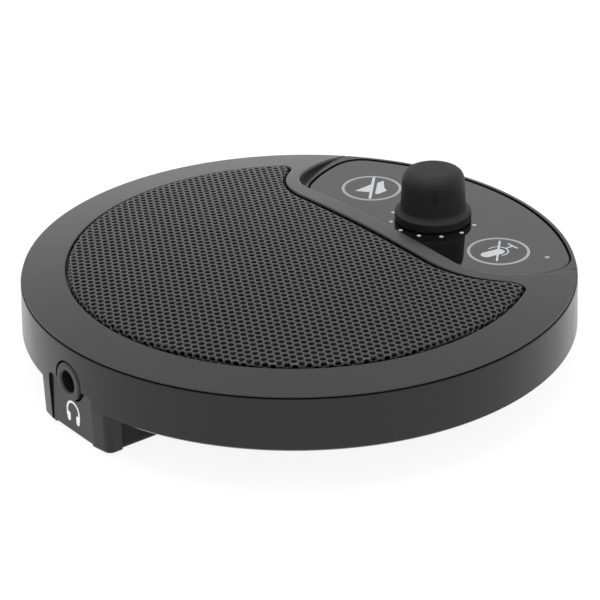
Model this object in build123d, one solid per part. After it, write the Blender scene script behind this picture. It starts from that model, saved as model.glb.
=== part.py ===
from build123d import *
import math
import os

# Conference speakerphone: a round, slightly domed puck with a perforated
# loudspeaker grille, a flat control panel with a volume knob and two mute keys
# at the user's side (-Y), and a rear heel (+Y) that carries a 3.5 mm socket.
# Millimetres, +Z up, origin on the table under the puck's axis.

os.makedirs("parts", exist_ok=True)

# ------------------------------------------------------------------ dimensions
R_OUT = 45.2          # side wall radius at its lower edge
R_TOP = 44.98         # side wall radius at its upper edge
R_RIM = 44.8          # top cover rim radius
Z_RIM = 16.0          # rim line of the top cover
DOME_H = 3.5          # rise of the dome at the axis over the rim line
R_DOME = (R_RIM**2 + DOME_H**2) / (2 * DOME_H)
Z_DOME_C = Z_RIM + DOME_H - R_DOME
Z_DISC = 6.92         # lower edge of the side wall
Z_BASE = 0.35         # underside of plateau and heel
PLATE = 1.4           # bottom cover thickness
Z_PLATE = Z_DISC + PLATE
R_IN = 43.2           # inside of the side wall
R_SKIRT = 44.45       # locating skirt of the top cover, in a rebate of the side wall
Z_UNDER = 13.5        # underside of the top cover
GROOVE = 0.26           # part line between top cover and side wall
RIM_T = 0.18            # height of the cover's rim over the part line

R_OPEN = 37.7         # grille opening radius
R_PLATEAU = 30.0      # round plateau under the puck
HEEL_X = 9.2          # half width of the rear heel
JACK_Z = 9.7          # headphone socket axis height
JACK_BORE_R = 1.8

Z_PANEL = Z_RIM - 0.15     # control panel top face
T_PANEL = 1.35
Z_FLOOR = Z_PANEL - T_PANEL
R_PANEL = 43.97            # outer edge of the control panel

KNOB_Y = -28.5
KEY_X, KEY_Y = 16.38, -28.4
KEY_DX = -0.22
KEY_TRAVEL = 0.35
RING_RO, RING_RI = 5.2, 4.66
LED_X, LED_Y = -23.3, -33.0

BOARD_T = 1.0
Z_CB = 9.4            # control board underside
Z_MB = 8.9            # main board underside
Z_JB = 6.0            # jack board underside

SPK_Y = 9.5           # loudspeaker axis
BAFFLE_T = 1.2

CASE_R = 39.5
CASE_AZ = (-30.0, 62.0, 118.0, 210.0)


# --------------------------------------------------------------------- helpers
def cyl(r, z0, z1, x=0.0, y=0.0):
    return Pos(x, y, z0) * Cylinder(r, z1 - z0, align=(Align.CENTER, Align.CENTER, Align.MIN))


def block(x0, x1, y0, y1, z0, z1):
    return Pos(x0, y0, z0) * Box(x1 - x0, y1 - y0, z1 - z0, align=(Align.MIN, Align.MIN, Align.MIN))


def tube(ro, ri, z0, z1, x=0.0, y=0.0):
    return cyl(ro, z0, z1, x, y) - cyl(ri, z0 - 0.5, z1 + 0.5, x, y)


def polar(r, deg):
    a = math.radians(deg)
    return (r * math.cos(a), r * math.sin(a))


def dome_z(r, off=0.0):
    return Z_DOME_C + math.sqrt((R_DOME + off) ** 2 - r * r)


def dome(r, z0, off=0.0):
    """Solid under the dome surface (moved by off along its normal)."""
    zt, ze, zm = dome_z(0, off), dome_z(r, off), dome_z(r / 2, off)
    edges = [
        Edge.make_three_point_arc((0, 0, zt), (r / 2, 0, zm), (r, 0, ze)),
        Edge.make_line((r, 0, ze), (r, 0, z0)),
        Edge.make_line((r, 0, z0), (0, 0, z0)),
        Edge.make_line((0, 0, z0), (0, 0, zt)),
    ]
    return revolve(Face(Wire(edges)), Axis.Z, 360)


def turned(points, x=0.0, y=0.0):
    """Solid of revolution of an (r, z) polygon about a vertical axis at x, y."""
    pts = [(p[0], 0, p[1]) for p in points]
    edges = [Edge.make_line(pts[i], pts[(i + 1) % len(pts)]) for i in range(len(pts))]
    return Pos(x, y, 0) * revolve(Face(Wire(edges)), Axis.Z, 360)


def half_path(y0, segs, d):
    """Right half of a line that is symmetric in X, moved by d to its right-hand side."""
    p, h, out = (0.0, y0 - d), 0.0, []
    for s in segs:
        if s[0] == "L":
            q = (p[0] + s[1] * math.cos(h), p[1] + s[1] * math.sin(h))
            out.append(("L", p, None, q))
            p = q
        else:
            turn = math.radians(s[2])
            sign = 1.0 if turn > 0 else -1.0
            r = s[1] + sign * d
            cx = p[0] - sign * r * math.sin(h)
            cy = p[1] + sign * r * math.cos(h)

            def at(t):
                return (cx + sign * r * math.sin(h + t), cy - sign * r * math.cos(h + t))

            q = at(turn)
            out.append(("A", p, at(turn / 2), q))
            p, h = q, h + turn
    return out, p, h


def edges_of(segs, mirror_x=False):
    out = []
    for kind, a, m, b in segs:
        if mirror_x:
            a, b = (-a[0], a[1]), (-b[0], b[1])
            m = (-m[0], m[1]) if m else None
        a3, b3 = (a[0], a[1], 0), (b[0], b[1], 0)
        if kind == "L":
            out.append(Edge.make_line(a3, b3))
        else:
            out.append(Edge.make_three_point_arc(a3, (m[0], m[1], 0), b3))
    return out


# The loudspeaker side of the ridge: straight across, then round the control
# area and out to a small flare at the grille circle.
GRILLE_LINE = [("L", 16.1), ("A", 14.0, -49.75), ("L", 2.7), ("A", 2.23, 49.75)]
# The panel side of the ridge: straight across, then down to the rim.
PANEL_LINE = [("L", 18.35), ("A", 9.2, -59.5), ("A", 30.9, -18.4)]
SIDE = 2.12                # control panel edge inside the panel line
SLIT = 0.28                # gap round the control panel


def grille_face(d, tip=1.0):
    """Grille outline, moved inwards by d."""
    segs, p, h = half_path(-13.35, GRILLE_LINE, -d)
    r = R_OPEN - d
    e = (math.sqrt(r * r - p[1] ** 2), p[1])
    segs.append(("L", p, None, e))
    edges = edges_of(segs) + edges_of(segs, True)
    edges.append(Edge.make_three_point_arc((e[0], e[1], 0), (0, r, 0), (-e[0], e[1], 0)))
    f = Face(Wire(edges))
    if tip:
        vs = [v for v in f.vertices() if abs(abs(v.X) - e[0]) < 0.01 and abs(v.Y - e[1]) < 0.01]
        f = f.fillet_2d(tip, vs)
    return f


def control_region(d):
    """Everything on the user's side of the panel line moved inwards by d."""
    segs, p, h = half_path(-16.25, PANEL_LINE, d)
    segs.append(("L", p, None, (p[0] + 1.0, -60.0)))
    edges = edges_of(segs) + edges_of(segs, True)
    edges.append(Edge.make_line((p[0] + 1.0, -60.0, 0), (-p[0] - 1.0, -60.0, 0)))
    return Face(Wire(edges))


def prism(face, z0, z1):
    return extrude(Pos(0, 0, z0) * face, amount=z1 - z0, dir=(0, 0, 1))


def panel_solid(d, z0, z1):
    """Control panel outline grown by d; corners rounded."""
    s = prism(control_region(SIDE - d), z0, z1) & cyl(R_PANEL + d, z0, z1)
    corners = [e for e in s.edges().filter_by(Axis.Z) if e.center().Y < -30]
    return fillet(corners, 5.3 + d)


def screws(places, z_head, head_h, head_r, z_tip, shank_r, up=True, slot=True):
    """Group of equal screws; head between z_head and z_head + head_h (signed)."""
    out = []
    for x, y in places:
        h0, h1 = sorted((z_head, z_head + head_h))
        s0, s1 = sorted((z_head, z_tip))
        s = cyl(head_r, h0, h1, x, y) + cyl(shank_r, s0, s1, x, y)
        if slot:
            zc = z_head + head_h
            a, b = sorted((zc - 0.5 * (1 if head_h > 0 else -1), zc + 0.2 * (1 if head_h > 0 else -1)))
            s -= block(x - head_r * 0.62, x + head_r * 0.62, y - 0.2, y + 0.2, a, b)
            s -= block(x - 0.2, x + 0.2, y - head_r * 0.62, y + head_r * 0.62, a, b)
        out.append(s)
    return Compound(children=[o if isinstance(o, Solid) else o.solids()[0] for o in out])


def group(*shapes):
    sol = []
    for s in shapes:
        sol += list(s.solids())
    return Compound(children=sol)


def save(shape, name):
    export_step(shape, f"parts/{name}.step")


case_xy = [polar(CASE_R, a) for a in CASE_AZ]
cb_xy = [(22.5, -21.5), (-22.5, -21.5), (0.0, -38.7)]
keys = {"speaker_mute": (KEY_X + KEY_DX, KEY_Y), "mic_mute": (-KEY_X + KEY_DX, KEY_Y)}

# ------------------------------------------------------------------- top cover
def on_dome(e):
    return all(abs(v.Z - dome_z(math.hypot(v.X, v.Y))) < 0.01 for v in e.vertices())


def soften(solid, edges, radius, label):
    try:
        s = fillet(edges, radius)
        assert s.is_valid and len(s.solids()) == 1
        return s
    except Exception as err:
        print(label, "left sharp", type(err).__name__)
        return solid


cover = dome(R_RIM + 1.5, Z_UNDER)
open_face = grille_face(0.0)
cover -= prism(open_face, Z_UNDER - 1, 25) - dome(R_RIM + 3, Z_UNDER - 2, -1.5)
cover -= prism(grille_face(1.3, 0.3), Z_UNDER - 1, 25)
cover -= prism(control_region(0.5), Z_UNDER - 1, 25)
wall = control_region(0.5).edges()


def split_inner():
    inner = [e for e in cover.edges() if on_dome(e) and math.hypot(e.center().X, e.center().Y) < R_RIM + 0.5]
    near = [e for e in inner if any(w.distance_to(Vector(e.center().X, e.center().Y, 0)) < 0.02 for w in wall)]
    return [e for e in inner if e not in near and e.length < 200 and math.hypot(e.center().X, e.center().Y) < 40], near


cover = soften(cover, split_inner()[0], 0.25, "opening")
cover = soften(cover, split_inner()[1], 0.35, "ridge")
# flat sector at rim level with the panel pocket
cover += prism(control_region(0.5), Z_UNDER, Z_RIM) & cyl(R_RIM + 1.5, Z_UNDER, Z_RIM)
cover -= panel_solid(SLIT, Z_FLOOR, 25)
# outer edge: softened rim, and the locating skirt below the part line
cover &= cyl(R_RIM, Z_UNDER - 2, 40)
cover -= cyl(60, Z_UNDER - 1, Z_RIM - RIM_T) - cyl(R_SKIRT, Z_UNDER - 1, Z_RIM - RIM_T)
# through holes of the pocket floor
cover -= block(-5.1, 5.1, KNOB_Y - 5.1, KNOB_Y + 5.1, Z_UNDER - 1, 20)
for kx, ky in keys.values():
    cover -= cyl(6.2, Z_UNDER - 1, 20, kx, ky)
cover -= cyl(0.7, Z_UNDER - 1, 20, LED_X, LED_Y)
# screw bosses
for x, y in case_xy:
    cover += cyl(2.6, 10.0, Z_UNDER + 0.4, x, y)
for x, y in cb_xy:
    cover += cyl(2.0, Z_CB + BOARD_T, Z_UNDER + 0.4, x, y)
for x, y in case_xy:
    cover -= cyl(1.0, 9.0, 14.2, x, y)
for x, y in cb_xy:
    cover -= cyl(0.8, 9.0, 14.0, x, y)
BAFFLE_XY = [polar(38.6, a) for a in (12.0, 78.0, 102.0, 168.0)]
for x, y in BAFFLE_XY:
    cover -= cyl(0.8, Z_UNDER - 1, Z_UNDER + 1.6, x, y)
save(cover, "top_cover")

# ---------------------------------------------------------------- side housing
Z_SIDE = Z_RIM - RIM_T - GROOVE
ring = turned([(R_IN, Z_DISC), (R_OUT - 0.35, Z_DISC), (R_OUT, Z_DISC + 0.35),
               (R_TOP, Z_SIDE - 0.12), (R_TOP - 0.12, Z_SIDE), (R_SKIRT + 0.07, Z_SIDE),
               (R_SKIRT + 0.07, Z_UNDER), (R_IN, Z_UNDER)])
ring += tube(R_IN + 0.3, 41.4, 12.4, Z_UNDER)         # ledge under the top cover
ring += tube(R_IN + 0.3, 42.3, Z_PLATE, Z_PLATE + 1)  # stop for the bottom cover
for x, y in case_xy:
    ring -= cyl(3.3, Z_DISC, 20, x, y)
# rear apron of the heel
apron = block(-HEEL_X, HEEL_X, 41.6, 50, Z_BASE, Z_DISC + 1.2)
apron &= turned([(0, 0), (R_OUT - 0.25, 0), (R_OUT - 0.25, Z_BASE), (R_OUT, Z_DISC), (R_OUT - 0.05, Z_DISC + 1.2), (0, Z_DISC + 1.2)])
vert = [e for e in apron.edges() if abs(e.tangent_at(0.5).Z) > 0.9 and e.center().Y > 43]
apron = fillet(vert, 1.3)
low = [e for e in apron.edges() if abs(e.center().Z - Z_BASE) < 0.01 and e.center().Y > 42.2]
try:
    a2 = fillet(low, 0.5)
    assert a2.is_valid
    apron = a2
except Exception as err:
    print("apron lower edge left sharp", type(err).__name__)
apron -= block(-7.9, 7.9, 30, 43.3, Z_BASE - 1, 20)
ring += apron
ring -= block(-7.9, 7.9, 40, 43.3, Z_BASE - 1, Z_UNDER - 1.1)
# shallow flat field round the socket, open at the heel's lower edge
field = block(-5.9, 5.9, 44.4, 50, Z_BASE - 1, 9.2)
field = fillet([e for e in field.edges().filter_by(Axis.Y) if e.center().Z > 9], 1.0)
ring -= field
ring -= block(-5.1, 5.1, 42, 50, Z_BASE - 1, Z_BASE + 0.35)
ring -= Pos(0, 50, JACK_Z) * Rot(90, 0, 0) * Cylinder(3.45, 20)
# USB-C opening in the side wall
USB_AZ, USB_Z = 35.0, 11.58
usb_loc = Rot(0, 0, USB_AZ) * Pos(0, 0, USB_Z)


def stadium(w, h, r0, r1):
    """Rounded slot w wide and h high between radii r0 and r1, along local X."""
    f = Plane.YZ * SlotOverall(w, h)
    return usb_loc * (Pos(r0, 0, 0) * extrude(f, amount=r1 - r0, dir=(1, 0, 0)))


ring -= stadium(9.7, 3.9, 40.5, 50)
save(ring, "side_housing")

# ---------------------------------------------------------------- bottom cover
base = cyl(R_IN - 0.15, Z_DISC, Z_PLATE)
plateau = cyl(R_PLATEAU, Z_BASE, Z_DISC + 0.5)
plateau = fillet(plateau.edges().filter_by(GeomType.CIRCLE).sort_by(Axis.Z)[0], 1.2)
pod = block(-HEEL_X + 0.15, HEEL_X - 0.15, 0, 41.45, Z_BASE, Z_DISC + 0.5)
low = [e for e in pod.edges() if abs(e.center().Z - Z_BASE) < 0.01 and abs(e.center().X) > 5]
pod = fillet(low, 1.0)
base += plateau + pod
base += block(-7.8, 7.8, 30, 43.15, Z_BASE + 0.3, Z_DISC + 0.5)     # tongue inside the apron
base -= block(-7.8, 7.8, 43.15, 50, 0, 20)
for sx in (-1, 1):
    base -= block(*sorted((sx * 7.8, sx * 9.4)), 41.45, 50, 0, 20)   # room for the apron's cheeks
base -= cyl(R_PLATEAU - 1.6, Z_BASE + PLATE, 20)
base -= block(-7.55, 7.55, 0, 41.9, Z_BASE + PLATE, 20)
base -= block(-6.6, 6.6, 41.5, 50, Z_JB - 0.6, 20)
# rubber foot grooves
base -= tube(27.0, 20.0, Z_BASE - 1, Z_BASE + 0.5)
base -= block(-6.2, 6.2, 34.2, 39.2, Z_BASE - 1, Z_BASE + 0.5)
# case screw pads with counterbores
for x, y in case_xy:
    base += cyl(3.1, Z_DISC, 10.0, x, y)
for x, y in case_xy:
    base -= cyl(2.3, Z_DISC - 1, 8.7, x, y)
    base -= cyl(1.15, Z_DISC - 1, 11, x, y)
# standoffs of the main board and of the jack board
MB_XY = [polar(36.5, -5.0), polar(32.0, 29.0), polar(39.3, 45.5)]
JB_XY = [(-5.3, 36.4), (5.3, 36.4)]
for x, y in MB_XY:
    base += cyl(2.0, Z_PLATE - 0.3, Z_MB, x, y)
    base -= cyl(0.8, Z_PLATE - 0.9, Z_MB + 1, x, y)
for x, y in JB_XY:
    base += cyl(1.9, Z_BASE + PLATE - 0.3, Z_JB, x, y)
    base -= cyl(0.8, 3.0, Z_JB + 1, x, y)
save(base, "bottom_cover")

# --------------------------------------------------------------- rubber feet
save(tube(26.9, 20.1, 0.0, Z_BASE + 0.5), "foot_ring")
pad = block(-6.1, 6.1, 34.3, 39.1, 0.0, Z_BASE + 0.5)
pad = fillet(pad.edges().filter_by(Axis.Z), 0.8)
save(pad, "heel_foot")

save(screws(case_xy, 8.7, -1.3, 2.0, 13.6, 0.98), "case_screws")

# ------------------------------------------------------------ grille and cloth
SHEET = 0.4
GAP = 0.4
# the sheet's crown is flatter than the dome: proud at the grille circle, let in at the ridge
CROWN_Z, CROWN_H = 16.5, 2.75
R_CROWN = (R_RIM**2 + CROWN_H**2) / (2 * CROWN_H)


def crown_z(r, off=0.0):
    return CROWN_Z + CROWN_H - R_CROWN + math.sqrt((R_CROWN + off) ** 2 - r * r)


def crown(r, z0, off=0.0):
    """Solid under the grille sheet's outer surface (moved by off along its normal)."""
    zt, ze, zm = crown_z(0, off), crown_z(r, off), crown_z(r / 2, off)
    edges = [
        Edge.make_three_point_arc((0, 0, zt), (r / 2, 0, zm), (r, 0, ze)),
        Edge.make_line((r, 0, ze), (r, 0, z0)),
        Edge.make_line((r, 0, z0), (0, 0, z0)),
        Edge.make_line((0, 0, z0), (0, 0, zt)),
    ]
    return revolve(Face(Wire(edges)), Axis.Z, 360)


g_out = prism(grille_face(GAP, 0.6), 12, 25) & crown(R_RIM + 2, 12)
g_in = prism(grille_face(GAP + SHEET, 0.3), 11, 25) & crown(R_RIM + 2, 11, -SHEET)
grille = g_out - g_in
grille -= dome(R_RIM + 3, 10, -1.45)
top_e = [e for e in grille.edges() if all(
    abs(v.Z - crown_z(math.hypot(v.X, v.Y))) < 0.02 for v in e.vertices()) and e.length > 0.2]
try:
    g2 = fillet(top_e, 0.3)
    assert g2.is_valid and len(g2.solids()) == 1
    grille = g2
    print("grille: edge softened", len(top_e))
except Exception as err:
    print("grille: edge left sharp", type(err).__name__)
save(grille, "speaker_grille")

cloth = prism(grille_face(GAP + SHEET + 0.35, 0.3), 12, 25) & crown(R_RIM + 2, 12, -SHEET - 0.02)
cloth -= crown(R_RIM + 3, 11, -SHEET - 0.22)
save(cloth, "grille_cloth")

# --------------------------------------------------------------- control panel
panel = panel_solid(0.0, Z_FLOOR, Z_PANEL)
panel = fillet([e for e in panel.faces().sort_by(Axis.Z)[-1].outer_wire().edges()], 0.22)
panel -= cyl(4.15, 10, 20, 0, KNOB_Y)
for kx, ky in keys.values():
    panel -= cyl(RING_RO + 0.08, 10, 20, kx, ky)
panel -= cyl(0.45, 10, 20, LED_X, LED_Y)
save(panel, "control_panel")

# --------------------------------------------------- mute keys, rings, switches
Z_BT = Z_CB + BOARD_T
for name, (kx, ky) in keys.items():
    cap = cyl(RING_RI, 14.0, Z_PANEL, kx, ky) + cyl(5.9, 14.0, 14.45, kx, ky) + cyl(1.9, 12.1, 14.2, kx, ky)
    save(cap, name + "_key")
    save(tube(RING_RO, RING_RI, 14.45, Z_PANEL, kx, ky), name + "_light_ring")
    save(cyl(1.0, 11.1, 12.1, kx, ky), name + "_plunger")
    sw = block(kx - 2.25, kx + 2.25, ky - 2.25, ky + 2.25, Z_BT, 11.6) - cyl(1.07, 10.65, 12, kx, ky)
    save(sw, name + "_switch")

# -------------------------------------------------------------- status light
save(cyl(0.42, Z_BT + 0.55, Z_PANEL, LED_X, LED_Y), "status_light_pipe")
save(block(LED_X - 0.8, LED_X + 0.8, LED_Y - 0.4, LED_Y + 0.4, Z_BT, Z_BT + 0.5), "status_led")

# --------------------------------------------------------------- volume control
SHAFT_R = 2.95
Z_KNOB0, Z_KNOB1 = 16.0, 24.95
k = [(4.4, Z_KNOB0), (6.38, Z_KNOB0), (6.45, Z_KNOB0 + 0.07), (6.45, 17.3), (6.4, 17.42), (6.25, 17.52),
     (5.96, 17.66), (5.72, 17.84), (5.56, 18.12), (5.49, 18.5), (5.44, 19.2), (5.27, 22.7), (5.21, 23.2), (5.07, 23.7),
     (4.83, 24.14), (4.46, 24.49), (3.95, 24.73), (3.3, 24.87), (0, Z_KNOB1), (0, 22.6), (2.97, 22.6), (2.97, 17.3),
     (4.4, 17.3)]
knob = turned(k, 0, KNOB_Y)
# the bore is D-shaped above the neck
flat = block(-3.2, 3.2, KNOB_Y + 1.97, KNOB_Y + 3.4, 18.02, 22.6) & cyl(3.3, 18.02, 22.6, 0, KNOB_Y)
knob += flat
# pointer groove on the shoulder
ptr = Pos(0, KNOB_Y, 0) * Rot(0, 0, 142.5) * (Pos(5.3, 0, 22.0) * Box(1.1, 0.6, 2.6))
knob -= ptr - cyl(5.16, 20, 30, 0, KNOB_Y)
save(knob, "volume_knob")
shaft = cyl(SHAFT_R, 11.9, 22.5, 0, KNOB_Y) + cyl(4.0, 11.2, 12.0, 0, KNOB_Y)
shaft -= block(-4, 4, KNOB_Y + 1.95, KNOB_Y + 4, 18.0, 23)
save(shaft, "volume_shaft")
pot = block(-4.8, 4.8, KNOB_Y - 4.8, KNOB_Y + 4.8, Z_BT, 14.3)
pot -= cyl(4.1, 11.0, 12.1, 0, KNOB_Y) + cyl(SHAFT_R + 0.05, 11.0, 15, 0, KNOB_Y)
save(pot, "volume_potentiometer")
save(tube(3.9, SHAFT_R + 0.05, 14.3, 17.0, 0, KNOB_Y), "potentiometer_bushing")

# --------------------------------------------------------------- control board
cb = block(-27, 27, -41, -17.6, Z_CB, Z_BT) & cyl(41.0, Z_CB, Z_BT)
cb -= block(23.6, 30, -30, -17, Z_CB - 1, 12) & cyl(60, 0, 20)
for x, y in cb_xy:
    cb -= cyl(0.95, Z_CB - 1, 12, x, y)
save(cb, "control_board")
save(screws(cb_xy, Z_CB, -0.75, 1.6, 13.2, 0.78), "control_board_screws")

# -------------------------------------------------------- baffle and loudspeaker
baf = cyl(40.4, Z_UNDER - BAFFLE_T, Z_UNDER) & block(-60, 60, -12.6, 60, 0, 20)
for x, y in case_xy:
    baf -= cyl(3.0, 10, 20, x, y)
baf -= cyl(17.9, 10, 20, 0, SPK_Y)
for x, y in BAFFLE_XY:
    baf -= cyl(0.95, 10, 20, x, y)
spk_xy = [(19.5 * math.cos(math.radians(a)), SPK_Y + 19.5 * math.sin(math.radians(a))) for a in (45, 135, 225, 315)]
for x, y in spk_xy:
    baf -= cyl(0.7, 10, 20, x, y)
MIC_X, MIC_Y = 28.5, -7.5
baf -= Rot(0, 0, 35) * block(35.8, 60, -5.2, 5.2, 5, 20)   # room for the USB receptacle
baf -= cyl(1.2, 10, 20, MIC_X, MIC_Y)
save(baf, "speaker_baffle")
save(screws(BAFFLE_XY, Z_UNDER - BAFFLE_T, -0.8, 1.6, 15.0, 0.78), "baffle_screws")

gask = tube(21.0, 17.9, Z_UNDER, Z_UNDER + 0.4, 0, SPK_Y)
for x, y in spk_xy:
    gask -= cyl(0.7, 10, 20, x, y)
save(gask, "speaker_gasket")

ZF = Z_UNDER + 0.4
basket = turned([(17.2, ZF), (21.0, ZF), (21.0, ZF + 0.8), (16.6, ZF + 0.8), (16.6, ZF - 0.3),
                 (13.6, 9.9), (11.3, 9.9), (11.3, 9.0), (14.4, 9.0), (17.2, ZF - 0.6)], 0, SPK_Y)
for a in (45, 135, 225, 315):
    w = Pos(0, SPK_Y, 0) * Rot(0, 0, a) * (Pos(15.6, 0, 11.7) * Box(5.0, 11.0, 2.0))
    basket -= w
for x, y in spk_xy:
    basket -= cyl(0.7, 10, 20, x, y)
save(basket, "speaker_basket")
yoke = turned([(0, 3.2), (12.6, 3.2), (12.6, 9.0), (10.9, 9.0), (10.9, 4.4), (0, 4.4)], 0, SPK_Y)
save(yoke, "speaker_yoke")
save(cyl(9.2, 4.4, 7.8, 0, SPK_Y), "speaker_magnet")
save(cyl(9.5, 7.8, 9.0, 0, SPK_Y), "speaker_pole_plate")
save(tube(10.3, 10.0, 6.2, 11.6, 0, SPK_Y), "speaker_voice_coil")
cone = turned([(10.0, 11.6), (10.9, 11.6), (15.3, 13.9), (15.6, 14.3), (15.6, 14.6), (15.2, 14.6), (10.7, 12.1),
               (8.6, 13.1), (6.0, 13.8), (3.0, 14.15), (0, 14.25), (0, 13.85), (3.0, 13.75), (6.0, 13.4),
               (8.4, 12.7)], 0, SPK_Y)
save(cone, "speaker_cone")
surround = turned([(15.75, 14.7), (16.1, 15.25), (16.8, 15.6), (17.5, 15.25), (17.9, 14.95), (18.3, 14.95),
                   (18.3, 14.7), (17.6, 14.7), (17.2, 15.0), (16.8, 15.2), (16.4, 15.0), (16.1, 14.7)], 0, SPK_Y)
save(surround, "speaker_surround")
save(screws(spk_xy, ZF + 0.8, 0.7, 1.1, 12.0, 0.66), "speaker_screws")

# ----------------------------------------------------------------- microphone
boot = cyl(4.0, Z_UNDER, Z_UNDER + 2.4, MIC_X, MIC_Y) - cyl(3.0, Z_UNDER + 0.5, 20, MIC_X, MIC_Y)
boot -= cyl(1.2, 10, 20, MIC_X, MIC_Y)
save(boot, "microphone_boot")
cap = cyl(2.98, Z_UNDER + 0.5, Z_UNDER + 2.7, MIC_X, MIC_Y) - cyl(0.9, Z_UNDER + 2.4, 20, MIC_X, MIC_Y)
save(cap, "microphone_capsule")

# ------------------------------------------------------------------ main board
mb = tube(41.6, 30.2, Z_MB, Z_MB + BOARD_T)
wedge = Face(Wire.make_polygon([(0, 0, 0), polar(80, -18) + (0,), polar(80, 20) + (0,), polar(80, 52.5) + (0,)]))
mb &= prism(wedge, 0, 20)
for x, y in MB_XY:
    mb -= cyl(0.95, 5, 20, x, y)
save(mb, "main_board")
save(screws(MB_XY, Z_MB + BOARD_T, 0.8, 1.6, 7.8, 0.78), "main_board_screws")
ZT = Z_MB + BOARD_T


def chip(az, r, w, d, h, rot=0.0):
    x, y = polar(r, az)
    return Pos(x, y, ZT) * Rot(0, 0, az + rot) * Box(w, d, h, align=(Align.CENTER, Align.CENTER, Align.MIN))


save(group(chip(20.0, 37.0, 7.0, 7.0, 0.9), chip(2.5, 38.6, 4.0, 4.0, 0.8), chip(9.5, 39.4, 2.0, 3.2, 0.8)),
     "main_board_chips")

# USB-C receptacle: shell with contact tongue
shell = stadium(8.94, 3.2, 36.9, 44.2) - stadium(8.34, 2.6, 37.6, 46)
shell += usb_loc * (Pos(37.4, 0, 0) * Box(5.6, 6.7, 0.7, align=(Align.MIN, Align.CENTER, Align.CENTER)))
foot = usb_loc * (Pos(37.0, 0, -USB_Z + ZT) * Box(4.4, 8.2, 0.5, align=(Align.MIN, Align.CENTER, Align.MIN)))
shell += foot - stadium(8.34, 2.6, 37.6, 46)
save(shell, "usb_receptacle")

# -------------------------------------------------------------- headphone jack
ZJ = Z_JB + BOARD_T
jb = block(-7.2, 7.2, 24.4, 41.2, Z_JB, ZJ) - cyl(20.0, 0, 20, 0, 5.0)
jb += block(-5.4, 5.4, 40, 42.7, Z_JB, ZJ)
for x, y in JB_XY:
    jb -= cyl(0.95, 0, 20, x, y)
save(jb, "jack_board")
save(screws(JB_XY, ZJ, 0.8, 1.6, 3.4, 0.78), "jack_board_screws")


def cyl_y(r, y0, y1):
    return Pos(0, y0, JACK_Z) * Rot(-90, 0, 0) * Cylinder(r, y1 - y0, align=(Align.CENTER, Align.CENTER, Align.MIN))


jack = block(-3.3, 3.3, 30.4, 43.0, ZJ, 12.2) + cyl_y(3.1, 42.8, 45.2)
jack = chamfer([e for e in jack.edges().filter_by(GeomType.CIRCLE) if e.center().Y > 45.1], 0.25)
jack -= cyl_y(JACK_BORE_R, 31.2, 46)
jack -= Pos(0, 44.95, JACK_Z) * Rot(-90, 0, 0) * Cone(JACK_BORE_R, 2.05, 0.26, align=(Align.CENTER, Align.CENTER, Align.MIN))
for y0, sx in ((33.0, 1), (36.6, -1), (40.0, 1)):
    jack -= block(*sorted((sx * 1.0, sx * 3.4)), y0, y0 + 1.4, JACK_Z - 0.7, JACK_Z + 0.7)
save(jack, "headphone_jack")
tips = []
for y0, sx in ((33.0, 1), (36.6, -1), (40.0, 1)):
    x0, x1 = sorted((sx * 1.95, sx * 2.2))
    leaf = block(x0, x1, y0 + 0.1, y0 + 1.3, JACK_Z - 0.6, JACK_Z + 0.6)
    x0, x1 = sorted((sx * 2.1, sx * 3.5))
    leaf += block(x0, x1, y0 + 0.2, y0 + 1.2, JACK_Z - 0.6, JACK_Z - 0.35)
    x0, x1 = sorted((sx * 3.32, sx * 3.57))
    leaf += block(x0, x1, y0 + 0.2, y0 + 1.2, ZJ, JACK_Z - 0.35)
    tips.append(leaf)
save(group(*tips), "jack_contacts")

# ---------------------------------------------------------------- inner wiring
# flat cable from the control board to the main board
rib_a, rib_b = (25.0, -31.0), (34.0, -6.5)
L = math.dist(rib_a, rib_b)
ang = math.degrees(math.atan2(rib_b[1] - rib_a[1], rib_b[0] - rib_a[0]))


def ribbon(stations, width, t=0.2):
    top = [(s, 0, z + t) for s, z in stations]
    low = [(s, 0, z) for s, z in reversed(stations)]
    f = Face(Wire.make_polygon(top + low))
    return Pos(0, width / 2, 0) * extrude(f, amount=width, dir=(0, -1, 0))


rc = ribbon([(0, Z_BT), (3.0, Z_BT), (5.0, 11.0), (L - 5.0, 11.0), (L - 3.0, ZT), (L, ZT)], 3.4)
save(Pos(rib_a[0], rib_a[1], 0) * Rot(0, 0, ang) * rc, "control_ribbon")

rj = ribbon([(1.5, ZJ), (6.4, ZJ), (7.3, ZT), (21.3, ZT), (24.6, ZT)], 3.4)
save(Pos(0, 27.2, 0) * rj, "jack_ribbon")

wires = []
for dy in (-0.9, 0.9):
    pts = [(17.6, 9.0 + dy, 11.2), (22.8, 8.6 + dy, 11.4), (27.6, 6.6 + dy, 10.8), (32.0, 5.4 + dy, 10.34)]
    path = FilletPolyline(*pts, radius=(6.0, 6.0))
    prof = Plane(origin=path @ 0, z_dir=path % 0) * Circle(0.42)
    wires.append(sweep(prof, path=path))
save(group(*wires), "speaker_leads")

print("done")
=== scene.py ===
import math

import bpy
import bmesh
import numpy as np
from mathutils import Matrix, Vector


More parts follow.
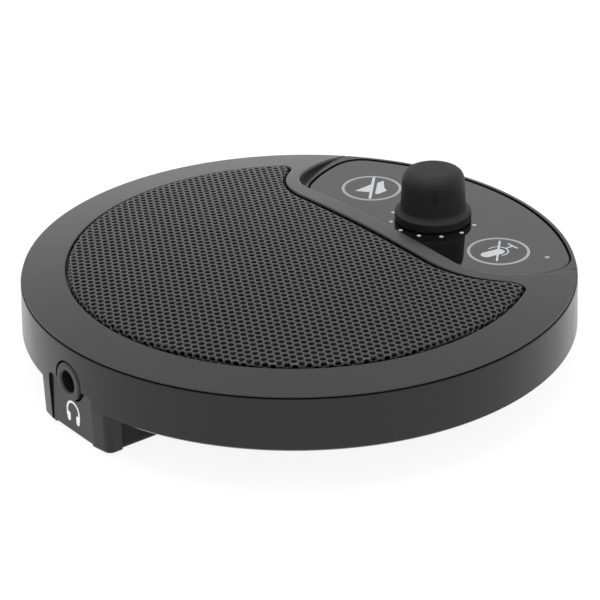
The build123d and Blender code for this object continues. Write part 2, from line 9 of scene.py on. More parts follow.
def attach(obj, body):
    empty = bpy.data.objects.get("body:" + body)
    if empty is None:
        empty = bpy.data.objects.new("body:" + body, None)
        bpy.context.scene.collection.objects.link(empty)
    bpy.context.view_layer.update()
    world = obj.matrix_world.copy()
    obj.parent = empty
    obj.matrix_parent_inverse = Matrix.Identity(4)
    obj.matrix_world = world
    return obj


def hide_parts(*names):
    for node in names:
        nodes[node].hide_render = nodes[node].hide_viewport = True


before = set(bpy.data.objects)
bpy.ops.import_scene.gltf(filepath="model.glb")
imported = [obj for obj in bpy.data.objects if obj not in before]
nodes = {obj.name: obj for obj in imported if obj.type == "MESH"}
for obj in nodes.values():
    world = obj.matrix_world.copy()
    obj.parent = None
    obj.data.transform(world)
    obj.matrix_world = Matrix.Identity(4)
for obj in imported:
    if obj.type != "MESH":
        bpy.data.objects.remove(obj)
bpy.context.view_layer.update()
MM = 0.001

# ------------------------------------------------------------ shared dimensions
# Same numbers as the CAD source, in millimetres.
R_RIM, Z_RIM, DOME_H = 44.8, 16.0, 3.5
R_DOME = (R_RIM**2 + DOME_H**2) / (2 * DOME_H)
Z_DOME_C = Z_RIM + DOME_H - R_DOME
CROWN_Z, CROWN_H = 16.5, 2.75
R_CROWN = (R_RIM**2 + CROWN_H**2) / (2 * CROWN_H)
R_OPEN = 37.7
Z_PANEL = 15.85
KNOB_Y = -28.5
KEY_X, KEY_Y, KEY_DX = 16.38, -28.4, -0.22
GRILLE_LINE = [("L", 16.1), ("A", 14.0, -49.75), ("L", 2.7), ("A", 2.23, 49.75)]


def dome_z(r, off=0.0):
    return Z_DOME_C + np.sqrt((R_DOME + off) ** 2 - np.asarray(r, float) ** 2)


def crown_z(r):
    """Outer surface of the grille sheet: flatter than the dome, proud at the circle, let in at the ridge."""
    return CROWN_Z + CROWN_H - R_CROWN + np.sqrt(R_CROWN**2 - np.asarray(r, float) ** 2)


# -------------------------------------------------------------------- materials
def srgb(v):
    """Linear value of an 8-bit display value."""
    c = v / 255.0
    return c / 12.92 if c <= 0.04045 else ((c + 0.055) / 1.055) ** 2.4


class Mat:
    """A node material with its own grain, tone variation and roughness variation."""

    def __init__(self, name, color, rough, metallic=0.0, ior=1.5, coat=0.0, coat_rough=0.05, sheen=0.0, specular=0.5):
        self.m = bpy.data.materials.new(name)
        self.m.use_nodes = True
        self.nt = self.m.node_tree
        self.nt.nodes.clear()
        self.out = self.nt.nodes.new("ShaderNodeOutputMaterial")
        self.b = self.nt.nodes.new("ShaderNodeBsdfPrincipled")
        self.nt.links.new(self.b.outputs["BSDF"], self.out.inputs["Surface"])
        self.b.inputs["Base Color"].default_value = (*color, 1.0)
        self.b.inputs["Roughness"].default_value = rough
        self.b.inputs["Metallic"].default_value = metallic
        self.b.inputs["IOR"].default_value = ior
        self.b.inputs["Specular IOR Level"].default_value = specular
        if coat:
            self.b.inputs["Coat Weight"].default_value = coat
            self.b.inputs["Coat Roughness"].default_value = coat_rough
        if sheen:
            self.b.inputs["Sheen Weight"].default_value = sheen
            self.b.inputs["Sheen Roughness"].default_value = 0.5
        self.color, self.rough = color, rough
        self.tc = self.nt.nodes.new("ShaderNodeTexCoord")
        self.m.diffuse_color = (*color, 1.0)

    def noise(self, size_mm, detail=2.0, rough=0.5, seed=0.0):
        n = self.nt.nodes.new("ShaderNodeTexNoise")
        n.inputs["Scale"].default_value = 1000.0 / size_mm
        n.inputs["Detail"].default_value = detail
        n.inputs["Roughness"].default_value = rough
        mp = self.nt.nodes.new("ShaderNodeMapping")
        mp.inputs["Location"].default_value = (seed, seed * 0.7, -seed)
        self.nt.links.new(self.tc.outputs["Object"], mp.inputs["Vector"])
        self.nt.links.new(mp.outputs["Vector"], n.inputs["Vector"])
        return n.outputs["Fac"]

    def voronoi(self, size_mm, feature="F1", seed=0.0):
        n = self.nt.nodes.new("ShaderNodeTexVoronoi")
        n.feature = feature
        n.inputs["Scale"].default_value = 1000.0 / size_mm
        mp = self.nt.nodes.new("ShaderNodeMapping")
        mp.inputs["Location"].default_value = (seed, seed * 0.7, -seed)
        self.nt.links.new(self.tc.outputs["Object"], mp.inputs["Vector"])
        self.nt.links.new(mp.outputs["Vector"], n.inputs["Vector"])
        return n.outputs["Distance"]

    def ramp(self, fac, stops):
        r = self.nt.nodes.new("ShaderNodeValToRGB")
        e = r.color_ramp.elements
        while len(e) < len(stops):
            e.new(0.5)
        for el, (pos, col) in zip(e, stops):
            el.position = pos
            el.color = (*col, 1.0)
        self.nt.links.new(fac, r.inputs["Fac"])
        return r.outputs["Color"]

    def rng(self, fac, a, b, lo=0.3, hi=0.7):
        n = self.nt.nodes.new("ShaderNodeMapRange")
        n.inputs["From Min"].default_value = lo
        n.inputs["From Max"].default_value = hi
        n.inputs["To Min"].default_value = a
        n.inputs["To Max"].default_value = b
        self.nt.links.new(fac, n.inputs["Value"])
        return n.outputs["Result"]

    def tone(self, size_mm=6.0, amount=0.15, seed=1.3):
        """Slow variation of the base colour."""
        f = self.noise(size_mm, 3.0, 0.55, seed)
        c = self.color
        lo = tuple(x * (1 - amount) for x in c)
        hi = tuple(min(1.0, x * (1 + amount)) for x in c)
        self.nt.links.new(self.ramp(f, [(0.3, lo), (0.7, hi)]), self.b.inputs["Base Color"])
        return self

    def gloss(self, size_mm=5.0, amount=0.04, seed=4.1):
        """Slow variation of the roughness: handling marks and moulding flow."""
        f = self.noise(size_mm, 4.0, 0.6, seed)
        r = self.rng(f, max(0.0, self.rough - amount), self.rough + amount)
        self.nt.links.new(r, self.b.inputs["Roughness"])
        return self

    def grain(self, size_mm=0.15, depth_mm=0.004, strength=1.0, detail=2.0, kind="noise", seed=0.0):
        f = self.noise(size_mm, detail, 0.5, seed) if kind == "noise" else self.voronoi(size_mm, seed=seed)
        bp = self.nt.nodes.new("ShaderNodeBump")
        bp.inputs["Strength"].default_value = strength
        bp.inputs["Distance"].default_value = depth_mm * MM
        self.nt.links.new(f, bp.inputs["Height"])
        last = self.b.inputs["Normal"]
        if last.is_linked:
            self.nt.links.new(last.links[0].from_socket, bp.inputs["Normal"])
        self.nt.links.new(bp.outputs["Normal"], last)
        return self

    def scratches(self, angle_deg, size_mm=0.25, stretch=30.0, depth_mm=0.002, strength=0.4):
        """Fine parallel brushing."""
        mp = self.nt.nodes.new("ShaderNodeMapping")
        mp.inputs["Rotation"].default_value = (0, 0, math.radians(angle_deg))
        mp.inputs["Scale"].default_value = (1.0, 1.0 / stretch, 1.0)
        n = self.nt.nodes.new("ShaderNodeTexNoise")
        n.inputs["Scale"].default_value = 1000.0 / size_mm
        n.inputs["Detail"].default_value = 2.0
        self.nt.links.new(self.tc.outputs["Object"], mp.inputs["Vector"])
        self.nt.links.new(mp.outputs["Vector"], n.inputs["Vector"])
        bp = self.nt.nodes.new("ShaderNodeBump")
        bp.inputs["Strength"].default_value = strength
        bp.inputs["Distance"].default_value = depth_mm * MM
        self.nt.links.new(n.outputs["Fac"], bp.inputs["Height"])
        last = self.b.inputs["Normal"]
        if last.is_linked:
            self.nt.links.new(last.links[0].from_socket, bp.inputs["Normal"])
        self.nt.links.new(bp.outputs["Normal"], last)
        return self


def grey(v, r=1.0, g=1.0, b=1.0):
    return (v * r, v * g, v * b)


COVER = Mat("satin_black_cover", grey(0.0090, 1.05, 1.0, 1.04), 0.23).tone(9, 0.12).gloss(7, 0.03).grain(0.16, 0.0035, 0.35)
WALL = Mat("satin_black_wall", grey(0.0040, 1.05, 1.0, 1.04), 0.25, ior=1.45).tone(9, 0.12, 2.2).gloss(7, 0.03, 3.0).grain(0.16, 0.0035, 0.35, seed=1.0)
BASE = Mat("textured_black_base", grey(0.005, 1.03, 1.0, 1.03), 0.55, specular=0.22).tone(7, 0.15).gloss(5, 0.05).grain(0.35, 0.012, 0.5, kind="voronoi")
MESH = Mat("painted_steel_mesh", grey(0.0225, 1.04, 1.0, 1.03), 0.29).tone(3, 0.15).gloss(2.5, 0.05).grain(0.08, 0.002, 0.35)
CLOTH = Mat("black_scrim_cloth", grey(0.004), 0.95, sheen=0.1).tone(1.2, 0.4).gloss(1.0, 0.04).grain(0.12, 0.01, 0.8)
PANEL = Mat("gloss_black_panel", grey(0.0045, 1.02, 1.0, 1.08), 0.045, ior=1.60).tone(12, 0.2).gloss(9, 0.012).grain(9.0, 0.002, 0.10)
KEYCAP = Mat("gloss_black_keycap", grey(0.0045, 1.02, 1.0, 1.08), 0.05, ior=1.60).tone(8, 0.2).gloss(6, 0.012).grain(9.0, 0.002, 0.10)
RING = Mat("light_guide_white", grey(0.30, 0.99, 1.0, 1.02), 0.32).tone(1.5, 0.06).gloss(1.5, 0.05).grain(0.12, 0.001, 0.2)
KNOB = Mat("soft_touch_knob", grey(0.0084, 1.0, 1.0, 1.05), 0.60, specular=0.31).tone(4, 0.14).gloss(3, 0.05).grain(0.09, 0.0025, 0.55)
FOOT = Mat("foot_rubber", grey(0.014), 0.8).tone(3, 0.2).gloss(2, 0.06).grain(0.2, 0.01, 0.6)
PRINT = Mat("white_print", grey(0.50, 0.985, 1.0, 1.03), 0.55).tone(0.8, 0.07).gloss(0.8, 0.06).grain(0.06, 0.001, 0.4)
PRINTW = Mat("white_print_bright", grey(0.86, 1.0, 1.0, 1.0), 0.5).tone(0.8, 0.04).gloss(0.8, 0.06).grain(0.06, 0.001, 0.4)
STEEL = Mat("zinc_steel", grey(0.55, 1.0, 0.99, 0.96), 0.30, metallic=1.0).tone(1.5, 0.1).gloss(0.8, 0.08).scratches(20, 0.12, 14)
BLACKSTEEL = Mat("black_zinc_screw", grey(0.05, 1.0, 1.0, 1.02), 0.35, metallic=1.0).tone(1.0, 0.2).gloss(0.8, 0.08).grain(0.1, 0.002, 0.4)
BRUSHED = Mat("bright_steel", grey(0.6, 1.0, 1.0, 0.98), 0.25, metallic=1.0).tone(2, 0.06).gloss(1.5, 0.06).scratches(0, 0.1, 20)
NICKEL = Mat("nickel_magnet", grey(0.5, 1.0, 0.97, 0.9), 0.28, metallic=1.0).tone(3, 0.08).gloss(2, 0.06).grain(0.2, 0.002, 0.3)
COPPER = Mat("enamelled_copper", (0.55, 0.2, 0.08), 0.35, metallic=1.0).tone(0.7, 0.15).gloss(0.6, 0.06).grain(0.1, 0.004, 0.5)
PAPER = Mat("pressed_paper_cone", grey(0.03, 1.0, 1.0, 1.05), 0.9).tone(1.0, 0.25).gloss(0.8, 0.04).grain(0.25, 0.02, 0.7)
SOFT = Mat("soft_rubber", grey(0.018), 0.7).tone(2, 0.2).gloss(1.5, 0.06).grain(0.15, 0.006, 0.5)
FOAM = Mat("gasket_foam", grey(0.03), 0.95).tone(0.6, 0.3).gloss(0.5, 0.03).grain(0.3, 0.03, 0.8, kind="voronoi")
BOARD = Mat("solder_mask_green", (0.012, 0.095, 0.035), 0.32, coat=0.3).tone(4, 0.2).gloss(3, 0.06).grain(0.6, 0.004, 0.4)
CHIP = Mat("chip_epoxy", grey(0.022), 0.5).tone(1, 0.2).gloss(0.8, 0.05).grain(0.1, 0.004, 0.5)
JACK = Mat("jack_black", grey(0.012, 1.02, 1.0, 1.02), 0.38).tone(2, 0.15).gloss(1.5, 0.05).grain(0.12, 0.003, 0.3)
BRASS = Mat("contact_brass", (0.72, 0.5, 0.2), 0.28, metallic=1.0).tone(0.8, 0.1).gloss(0.6, 0.06).grain(0.15, 0.002, 0.3)
LED = Mat("diffuser_clear", grey(0.14, 1.0, 1.0, 0.99), 0.3).tone(0.3, 0.08).gloss(0.3, 0.06).grain(0.08, 0.001, 0.3)
SWITCH = Mat("switch_black", grey(0.02), 0.5).tone(1.5, 0.15).gloss(1, 0.05).grain(0.12, 0.003, 0.4)
RIBBON = Mat("ribbon_white", grey(0.62, 1.0, 0.99, 0.96), 0.45).tone(1.5, 0.08).gloss(1, 0.05).scratches(90, 0.3, 20, 0.01, 0.5)
WIRE = Mat("wire_red_pvc", (0.42, 0.02, 0.018), 0.4).tone(1.2, 0.15).gloss(1, 0.05).grain(0.2, 0.004, 0.3)

BY_SLOT = {
    "housing_black": COVER, "base_black": BASE, "grille_black": MESH, "cloth_black": CLOTH, "panel_black": PANEL,
    "light_guide": RING, "knob_rubber": KNOB, "foot_rubber": FOOT, "screw_steel": STEEL, "bare_steel": BRUSHED,
    "magnet_nickel": NICKEL, "copper": COPPER, "cone_paper": PAPER, "soft_rubber": SOFT, "foam": FOAM,
    "board_green": BOARD, "chip_black": CHIP, "jack_black": JACK, "contact_brass": BRASS, "led_clear": LED,
    "switch_black": SWITCH, "ribbon_white": RIBBON, "wire_red": WIRE,
}
BY_NODE = {"side_housing": WALL, "case_screws": BLACKSTEEL, "speaker_mute_key": KEYCAP, "mic_mute_key": KEYCAP}
for name, o in nodes.items():
    for i, s in enumerate(o.material_slots):
        want = BY_NODE.get(name) or BY_SLOT.get(s.material.name.split(".")[0], COVER)
        o.data.materials[i] = want.m


# ------------------------------------------------------------ mesh construction
def make_object(name, verts_mm, faces, mat, body, smooth=True, sharp_deg=None):
    me = bpy.data.meshes.new(name)
    me.from_pydata([(x * MM, y * MM, z * MM) for x, y, z in verts_mm], [], faces)
    me.validate()
    bm = bmesh.new()
    bm.from_mesh(me)
    bmesh.ops.recalc_face_normals(bm, faces=bm.faces)
    bm.to_mesh(me)
    bm.free()
    me.materials.append(mat.m)
    if smooth:
        me.polygons.foreach_set("use_smooth", [True] * len(me.polygons))
        if sharp_deg is not None:
            me.set_sharp_from_angle(angle=math.radians(sharp_deg))
    o = bpy.data.objects.new(name, me)
    bpy.context.scene.collection.objects.link(o)
    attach(o, body)
    return o


def slab(planar, faces, top, bottom, mid=None):
    """Closed slab over a planar mesh: top and bottom layers, walls on every open edge.
    Returns vertex list and faces; top and bottom map a planar index to a point. Where mid(i)
    gives a point the wall has a third row of vertices, which rounds the upper edge."""
    n = len(planar)
    verts = [top(i) for i in range(n)] + [bottom(i) for i in range(n)]
    third = {}
    if mid:
        for i in range(n):
            q = mid(i)
            if q is not None:
                third[i] = len(verts)
                verts.append(q)
    out = [tuple(f) for f in faces] + [tuple(i + n for i in reversed(f)) for f in faces]
    seen = {}
    for f in faces:
        for a, b in zip(f, f[1:] + f[:1]):
            seen[(a, b)] = seen.get((a, b), 0) + 1
    for (a, b) in seen:
        if (b, a) not in seen:
            if a in third and b in third:
                out.append((b, a, third[a], third[b]))
                out.append((third[b], third[a], a + n, b + n))
            else:
                out.append((b, a, a + n, b + n))
    return verts, out


# ------------------------------------------------------- perforated steel grille
def grille_prims(d, tip):
    """Grille outline moved inwards by d, walked with the sheet on its left, as lines and arcs."""
    half = []
    p, h = (0.0, -13.35 + d), 0.0
    for s in GRILLE_LINE:
        if s[0] == "L":
            q = (p[0] + s[1] * math.cos(h), p[1] + s[1] * math.sin(h))
            half.append(("L", p, q))
            p = q
        else:
            t = math.radians(s[2])
            sg = 1.0 if t > 0 else -1.0
            r = s[1] - sg * d
            c = (p[0] - sg * r * math.sin(h), p[1] + sg * r * math.cos(h))
            a0 = math.atan2(p[1] - c[1], p[0] - c[0])
            half.append(("A", c, r, a0, t))
            p = (c[0] + r * math.cos(a0 + t), c[1] + r * math.sin(a0 + t))
            h += t
    rc = R_OPEN - d
    yc = p[1] + tip
    xc = math.sqrt((rc - tip) ** 2 - yc**2)
    half.append(("L", p, (xc, p[1])))
    ang = math.atan2(yc, xc)
    half.append(("A", (xc, yc), tip, -math.pi / 2, ang + math.pi / 2))
    prims = list(half)
    prims.append(("A", (0.0, 0.0), rc, ang, math.pi - 2 * ang))
    for s in reversed(half):
        if s[0] == "L":
            prims.append(("L", (-s[2][0], s[2][1]), (-s[1][0], s[1][1])))
        else:
            _, c, r, a0, t = s
            prims.append(("A", (-c[0], c[1]), r, math.pi - (a0 + t), t))
    return prims


def signed_distance(prims, P):
    """Distance inside the outline (negative outside) and the inward normal, for points P."""
    best = np.full(len(P), 1e9)
    sd = np.full(len(P), 1e9)
    nrm = np.zeros((len(P), 2))
    for s in prims:
        if s[0] == "L":
            a, b = np.array(s[1]), np.array(s[2])
            L = np.linalg.norm(b - a)
            if L < 1e-9:
                continue
            d = (b - a) / L
            v = P - a
            t = v @ d
            side = d[0] * v[:, 1] - d[1] * v[:, 0]
            ok = (t > -1e-6) & (t < L + 1e-6)
            n = np.tile([-d[1], d[0]], (len(P), 1))
        else:
            _, c, r, a0, sw = s
            v = P - np.array(c)
            rad = np.maximum(np.linalg.norm(v, axis=1), 1e-9)
            ang = np.arctan2(v[:, 1], v[:, 0])
            sg = 1.0 if sw > 0 else -1.0
            rel = np.mod((ang - a0) * sg, 2 * math.pi)
            ok = (rel < abs(sw) + 1e-6) | (rel > 2 * math.pi - 1e-6)
            side = (r - rad) * sg
            n = -v / rad[:, None] * sg
        take = ok & (np.abs(side) < best)
        best[take] = np.abs(side)[take]
        sd[take] = side[take]
        nrm[take] = n[take]
    return sd, nrm


PITCH, HOLE_R, THROAT_R, SHEET_T, FOLD = 1.255, 0.50, 0.445, 0.37, 0.60
SKIRT = 1.62                                   # drop of the folded edge below the sheet's top
U_MAX = FOLD * math.pi / 2 + SKIRT - FOLD      # unrolled length beyond the fold line
PRIMS = grille_prims(0.4, 0.6)


def build_grille():
    v1 = np.array([0.0, PITCH])
    v2 = np.array([PITCH * math.cos(math.pi / 6), PITCH * 0.5])
    c = []
    for i in range(-70, 71):
        for j in range(-45, 46):
            c.append(i * v1 + j * v2 + np.array([0.0, 0.31]))
    c = np.array(c)
    c = c[np.hypot(c[:, 0], c[:, 1]) < R_OPEN + 3]
    sd, _ = signed_distance(PRIMS, c)
    far = FOLD - U_MAX                         # signed distance of the trimmed edge
    c = c[sd > far - 0.75]
    sd = sd[sd > far - 0.75]
    rc = PITCH / math.sqrt(3)
    nh = 10
    hole = np.array([(math.cos(2 * math.pi * k / nh), math.sin(2 * math.pi * k / nh)) for k in range(nh)])
    corner = np.array([(rc * math.cos(math.radians(60 * k)), rc * math.sin(math.radians(60 * k))) for k in range(6)])
    pts, index, faces = [], {}, []

    def vid(x, y):
        k = (round(x * 200), round(y * 200))
        for dk in ((0, 0), (1, 0), (-1, 0), (0, 1), (0, -1), (1, 1), (-1, -1), (1, -1), (-1, 1)):
            kk = (k[0] + dk[0], k[1] + dk[1])
            if kk in index:
                return index[kk]
        index[k] = len(pts)
        pts.append((x, y))
        return index[k]

    # boundary of every cell, clipped to the trimmed edge of the unrolled sheet
    allc = (c[:, None, :] + corner[None, :, :]).reshape(-1, 2)
    mids = (c[:, None, :] + (corner[None, :, :] + np.roll(corner, -1, axis=0)[None, :, :]) / 2).reshape(-1, 2)
    sdc, nc = signed_distance(PRIMS, allc)
    sdm, nm = signed_distance(PRIMS, mids)

    def clip(P, S, N):
        out = P.copy()
        m = S < far
        out[m] = P[m] + N[m] * (far - S[m])[:, None]
        return out

    allc2, mids2 = clip(allc, sdc, nc), clip(mids, sdm, nm)
    holes_all = (c[:, None, :] + HOLE_R * hole[None, :, :]).reshape(-1, 2)
    centre = {}
    sdh, _ = signed_distance(PRIMS, holes_all)
    for n in range(len(c)):
        outer = []
        for k in range(6):
            i = n * 6 + k
            outer.append((tuple(allc2[i]), math.atan2(*(allc[i] - c[n])[::-1])))
            if sdc[i] < FOLD + 0.3 or sdc[n * 6 + (k + 1) % 6] < FOLD + 0.3:
                outer.append((tuple(mids2[i]), math.atan2(*(mids[i] - c[n])[::-1])))
        ids = [vid(*p) for p, _ in outer]
        ang = [a for _, a in outer]
        open_hole = sdh[n * nh:(n + 1) * nh].min() > far + 0.12
        if not open_hole:
            if sd[n] < far:
                poly = []
                for i in ids:
                    if not poly or poly[-1] != i:
                        poly.append(i)
                if poly and poly[0] == poly[-1]:
                    poly.pop()
                if len(set(poly)) >= 3:
                    P = np.array([pts[i] for i in poly])
                    area = 0.5 * abs(np.dot(P[:, 0], np.roll(P[:, 1], -1)) - np.dot(P[:, 1], np.roll(P[:, 0], -1)))
                    if area > 0.01 and len(set(poly)) == len(poly):
                        faces.append(poly)
                continue
            ctr = vid(*c[n])
            m = len(ids)
            for k in range(m):
                a, b = ids[k], ids[(k + 1) % m]
                if len({a, b, ctr}) == 3:
                    faces.append([ctr, a, b])
            continue
        hid = []
        for k in range(nh):
            centre[len(pts)] = (c[n], hole[k])
            hid.append(len(pts))
            pts.append(tuple(c[n] + HOLE_R * hole[k]))
        # ring between the cell boundary and the hole, merged by angle
        hang = [2 * math.pi * k / nh for k in range(nh)]
        oang = [a % (2 * math.pi) for a in ang]
        order = sorted(range(len(ids)), key=lambda q: oang[q])
        ids = [ids[q] for q in order]
        oang = [oang[q] for q in order]
        i = j = 0
        m = len(ids)
        while i < m or j < nh:
            ni = oang[(i + 1) % m] + (2 * math.pi if i + 1 >= m else 0)
            nj = hang[(j + 1) % nh] + (2 * math.pi if j + 1 >= nh else 0)
            if i < m and (j >= nh or ni <= nj):
                tri = [ids[i % m], ids[(i + 1) % m], hid[j % nh]]
                i += 1
            else:
                tri = [ids[i % m], hid[(j + 1) % nh], hid[j % nh]]
                j += 1
            if len(set(tri)) == 3:
                faces.append(tri)
    top_xy = np.array(pts)
    low_xy, mid_xy = top_xy.copy(), top_xy.copy()
    for i, (cc, u) in centre.items():
        low_xy[i] = cc + THROAT_R * u
        mid_xy[i] = cc + (THROAT_R + 0.012) * u

    def layer(P, h):
        """Points of the sheet at depth h, wrapped over the fold."""
        S, N = signed_distance(PRIMS, P)
        S = np.maximum(S, far)
        u = FOLD - S
        Q = P - N * S[:, None]                 # foot on the outline
        rr = np.hypot(P[:, 0], P[:, 1])
        flat = u <= 0
        base = np.where(flat, crown_z(rr), crown_z(np.hypot(*(Q + N * FOLD).T)))
        th = np.clip(u / FOLD, 0, math.pi / 2)
        off = FOLD - (FOLD - h) * np.sin(th)
        z = base - FOLD + (FOLD - h) * np.cos(th) - np.maximum(0.0, u - FOLD * math.pi / 2)
        q = Q + N * off[:, None]
        x = np.where(flat, P[:, 0], q[:, 0])
        y = np.where(flat, P[:, 1], q[:, 1])
        z = np.where(flat, base - h, z)
        seat = dome_z(np.hypot(x, y)) - 1.44   # the ledge under the edge
        return np.stack([x, y, np.maximum(z, seat)], axis=1)

    A, B, M = layer(top_xy, 0.0), layer(low_xy, SHEET_T), layer(mid_xy, 0.10)
    verts, fs = slab(pts, faces, lambda i: tuple(A[i]), lambda i: tuple(B[i]),
                     lambda i: tuple(M[i]) if i in centre else None)
    return make_object("grille_mesh", verts, fs, MESH, "housing", smooth=True, sharp_deg=48)


grille = build_grille()
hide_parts("speaker_grille")


# --------------------------------------------------------------- printed marks
def contour_slab(name, f, box, step, place_top, place_bottom, mat, body):
    """Flat piece whose outline is the zero line of f(x, y) (negative inside), by marching squares."""
    x0, x1, y0, y1 = box
    nx, ny = int(round((x1 - x0) / step)) + 1, int(round((y1 - y0) / step)) + 1
    xs, ys = np.linspace(x0, x1, nx), np.linspace(y0, y1, ny)
    X, Y = np.meshgrid(xs, ys, indexing="ij")
    F = f(X, Y)
    F = np.where(np.abs(F) < 1e-6, -1e-6, F)
    pts, index, faces = [], {}, []

    def node(i, j):
        k = ("n", i, j)
        if k not in index:
            index[k] = len(pts)
            pts.append((xs[i], ys[j]))
        return index[k]

    def cross(i, j, a, b):
        k = ("e", min((i, j), (a, b)), max((i, j), (a, b)))
        if k not in index:
            t = F[i, j] / (F[i, j] - F[a, b])
            t = min(max(t, 0.02), 0.98)
            index[k] = len(pts)
            pts.append((xs[i] + t * (xs[a] - xs[i]), ys[j] + t * (ys[b] - ys[j])))
        return index[k]

    for i in range(nx - 1):
        for j in range(ny - 1):
            ring = [(i, j), (i + 1, j), (i + 1, j + 1), (i, j + 1)]
            neg = [F[p] < 0 for p in ring]
            if not any(neg):
                continue
            poly = []
            for k in range(4):
                a, b = ring[k], ring[(k + 1) % 4]
                if neg[k]:
                    poly.append(node(*a))
                if neg[k] != neg[(k + 1) % 4]:
                    poly.append(cross(*a, *b))
            if len(poly) >= 3:
                faces.append(poly)
    # join the inner cells so that the piece has few faces
    bm = bmesh.new()
    bv = [bm.verts.new((x, y, 0.0)) for x, y in pts]
    for fc in faces:
        bm.faces.new([bv[i] for i in fc])
    bmesh.ops.dissolve_limit(bm, angle_limit=math.radians(1.0), use_dissolve_boundaries=False, verts=bm.verts, edges=bm.edges)
    bmesh.ops.triangulate(bm, faces=bm.faces)
    bm.verts.index_update()
    pts = [(v.co.x, v.co.y) for v in bm.verts]
    faces = [[v.index for v in fc.verts] for fc in bm.faces]
    bm.free()
    verts, fs = slab(pts, faces, lambda i: place_top(*pts[i]), lambda i: place_bottom(*pts[i]))
    return make_object(name, verts, fs, mat, body, smooth=True, sharp_deg=30)


def sd_capsule(X, Y, ax, ay, bx, by, r):
    dx, dy = bx - ax, by - ay
    t = np.clip(((X - ax) * dx + (Y - ay) * dy) / (dx * dx + dy * dy), 0, 1)
    return np.hypot(X - ax - t * dx, Y - ay - t * dy) - r


def sd_bar(X, Y, ax, ay, bx, by, w):
    """Straight bar with square ends."""
    L = math.hypot(bx - ax, by - ay)
    ux, uy = (bx - ax) / L, (by - ay) / L
    s = (X - (ax + bx) / 2) * ux + (Y - (ay + by) / 2) * uy
    t = -(X - (ax + bx) / 2) * uy + (Y - (ay + by) / 2) * ux
    return np.maximum(np.abs(s) - L / 2, np.abs(t) - w)


def sd_poly(X, Y, pts):
    """Signed distance of a polygon, negative inside."""
    d = np.full(X.shape, 1e9)
    inside = np.zeros(X.shape, bool)
    n = len(pts)
    for i in range(n):
        ax, ay = pts[i]
        bx, by = pts[(i + 1) % n]
        ex, ey = bx - ax, by - ay
        t = np.clip(((X - ax) * ex + (Y - ay) * ey) / (ex * ex + ey * ey), 0, 1)
        d = np.minimum(d, np.hypot(X - ax - t * ex, Y - ay - t * ey))
        cond = ((ay > Y) != (by > Y))
        with np.errstate(divide="ignore", invalid="ignore"):
            xi = ax + (Y - ay) / (by - ay if by != ay else 1e-12) * ex
        inside ^= cond & (X < xi)
    return np.where(inside, -d, d)


U = np.minimum
INK = 0.018      # ink height
SINK = 0.004     # how far the mark's underside is let into the surface below


# volume scale: nine dots on a 7.2 mm radius, open towards the user
def scale_dots():
    verts, faces = [], []
    for k in range(9):
        a = math.radians(90 - 120 + 30 * k)
        cx, cy = -0.2 + 7.2 * math.cos(a), KNOB_Y + 0.05 + 7.2 * math.sin(a)
        n, b = 20, len(verts)
        verts.append((cx, cy, Z_PANEL + INK))
        for z, r in ((Z_PANEL + INK, 0.33), (Z_PANEL + INK * 0.6, 0.36), (Z_PANEL - SINK, 0.36)):
            for i in range(n):
                t = 2 * math.pi * i / n
                verts.append((cx + r * math.cos(t), cy + r * math.sin(t), z))
        verts.append((cx, cy, Z_PANEL - SINK))
        for i in range(n):
            j = (i + 1) % n
            faces.append((b, b + 1 + i, b + 1 + j))
            for ring in (0, 1):
                p, q = b + 1 + ring * n, b + 1 + (ring + 1) * n
                faces.append((p + i, q + i, q + j, p + j))
            faces.append((b + 1 + 3 * n, b + 1 + 2 * n + j, b + 1 + 2 * n + i))
    return make_object("volume_scale_dots", verts, faces, PRINT, "housing", sharp_deg=40)


scale_dots()


def speaker_icon(X, Y):
    """Loudspeaker seen from the side with a bar across it."""
    cone = sd_poly(X, Y, [(0.86, 2.85), (1.2, -0.9), (-1.05, 1.35)]) - 0.05
    horn = sd_poly(X, Y, [(1.03, -2.2), (1.02, -3.5), (-1.2, -1.8), (-2.5, -1.3), (-2.55, -0.5), (-2.65, 0.85), (-2.2, 0.95)])
    bar = sd_bar(X, Y, 3.22, -3.18, -3.22, 3.02, 0.25)
    gap = sd_bar(X, Y, 4.4, -4.88, -4.4, 3.6, 0.15)
    return U(U(cone, bar), np.maximum(horn - 0.04, -gap))


def mic_icon(X, Y):
    """Microphone on its stand with a bar across it."""
    cap = sd_capsule(X, Y, 0.22, 2.45, -0.18, 0.05, 0.93)
    r = np.hypot(X - 0.02, Y - 0.1)
    arc = np.maximum(np.abs(r - 1.68) - 0.115, Y - 0.75)
    stem = sd_bar(X, Y, 0.0, -1.5, 0.0, -3.0, 0.16)
    foot = sd_bar(X, Y, -1.2, -3.1, 1.2, -3.1, 0.17)
    bar = sd_bar(X, Y, 2.8, -2.78, -2.63, 2.74, 0.165)
    return U(U(cap, arc), U(U(stem, foot), bar))


for name, cx, fn, body in (("speaker_mute_icon", KEY_X + KEY_DX, speaker_icon, "speaker_mute_button"),
                           ("mic_mute_icon", -KEY_X + KEY_DX, mic_icon, "mic_mute_button")):
    contour_slab(name, fn, (-3.7, 3.7, -3.8, 3.8), 0.05,
                 lambda x, y, cx=cx: (cx + x, KEY_Y + y, Z_PANEL + INK),
                 lambda x, y, cx=cx: (cx + x, KEY_Y + y, Z_PANEL - SINK),
                 PRINT, body)


def headphone_icon(X, Y):
    r = np.hypot(X, Y - 0.25)
    band = np.maximum(np.abs(r - 1.62) - 0.19, -(Y - 0.05))
    arms = U(sd_bar(X, Y, -1.62, 0.1, -1.62, -1.0, 0.19), sd_bar(X, Y, 1.62, 0.1, 1.62, -1.0, 0.19))
    cups = U(sd_capsule(X, Y, -1.22, -0.55, -1.22, -1.35, 0.42), sd_capsule(X, Y, 1.22, -0.55, 1.22, -1.35, 0.42))
    return U(U(band, arms), cups)


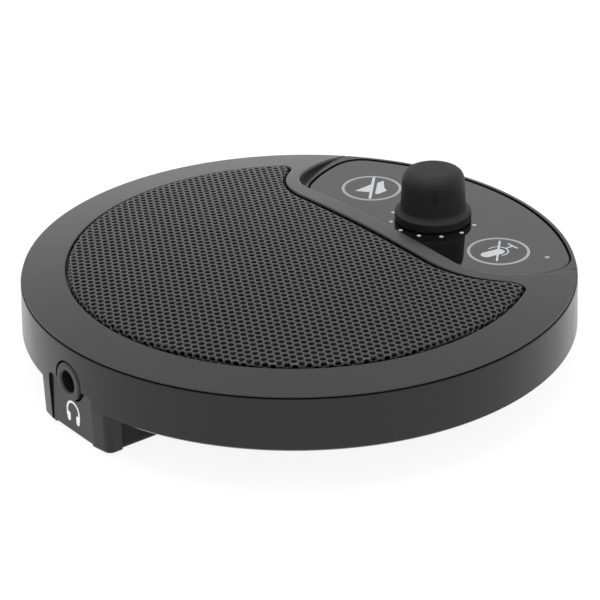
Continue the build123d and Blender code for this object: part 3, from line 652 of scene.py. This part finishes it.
contour_slab("headphone_icon", headphone_icon, (-2.2, 2.2, -2.1, 2.2), 0.05,
             lambda x, y: (-x, 44.4 + INK, 4.0 + y),
             lambda x, y: (-x, 44.4 - SINK, 4.0 + y),
             PRINTW, "housing")

# ---------------------------------------------------------------- studio set-up
FLOORM = Mat("studio_floor", grey(0.14, 1.0, 1.0, 1.0), 0.9, specular=0.1).tone(400, 0.01).gloss(300, 0.03)
FLOORM.b.inputs["Emission Color"].default_value = (1.0, 1.0, 1.0, 1.0)
FLOORM.b.inputs["Emission Strength"].default_value = 0.90
verts, faces, n = [], [], 64
rings = [0.0, 200.0, 600.0, 1500.0, 4000.0, 9000.0]
for r in rings:
    for i in range(n):
        a = 2 * math.pi * i / n
        verts.append((r * math.cos(a) * MM, r * math.sin(a) * MM, 0.0))
for k in range(1, len(rings)):
    for i in range(n):
        j = (i + 1) % n
        if k == 1:
            faces.append(((k) * n + i, (k) * n + j, 0))
        else:
            faces.append(((k - 1) * n + i, k * n + i, k * n + j, (k - 1) * n + j))
me = bpy.data.meshes.new("studio_floor")
me.from_pydata(verts, [], faces)
me.validate()
me.materials.append(FLOORM.m)
floor = bpy.data.objects.new("studio_floor", me)
floor.location = (0, 0, -0.00002)
bpy.context.scene.collection.objects.link(floor)

world = bpy.data.worlds.new("studio")
bpy.context.scene.world = world
world.use_nodes = True
bg = world.node_tree.nodes["Background"]
bg.inputs["Color"].default_value = (1.0, 1.0, 1.0, 1.0)
bg.inputs["Strength"].default_value = 1.0


def softbox(name, location, target, size, power, size_y=None):
    d = bpy.data.lights.new(name, "AREA")
    d.energy = power
    d.shape = "RECTANGLE"
    d.size, d.size_y = size, size_y or size
    o = bpy.data.objects.new(name, d)
    o.location = location
    o.rotation_euler = (Vector(target) - Vector(location)).to_track_quat("-Z", "Y").to_euler()
    bpy.context.scene.collection.objects.link(o)
    return o


softbox("overhead", (0.02, -0.02, 0.7), (0, 0, 0), 0.45, 1.6)

# -------------------------------------------------------------------- the camera
cam_data = bpy.data.cameras.new("camera")
cam_data.sensor_width = 36.0
cam_data.lens = 153.332
cam_data.clip_start, cam_data.clip_end = 0.01, 50.0
cam = bpy.data.objects.new("camera", cam_data)
C = Vector((-0.29596422, 0.22711213, 0.19564422))
fwd = Vector((0.70976379, -0.54486648, -0.44649286))
right = Vector((-0.61377873, -0.78938092, -0.01238702))
up = Vector((0.34570367, -0.28283968, 0.89470145))
cam.matrix_world = Matrix(((right.x, up.x, -fwd.x, C.x), (right.y, up.y, -fwd.y, C.y),
                           (right.z, up.z, -fwd.z, C.z), (0, 0, 0, 1)))
bpy.context.scene.collection.objects.link(cam)
bpy.context.scene.camera = cam
vs = bpy.context.scene.view_settings
vs.view_transform = "Standard"
vs.look = "None"
vs.exposure = 0.0
vs.gamma = 1.0
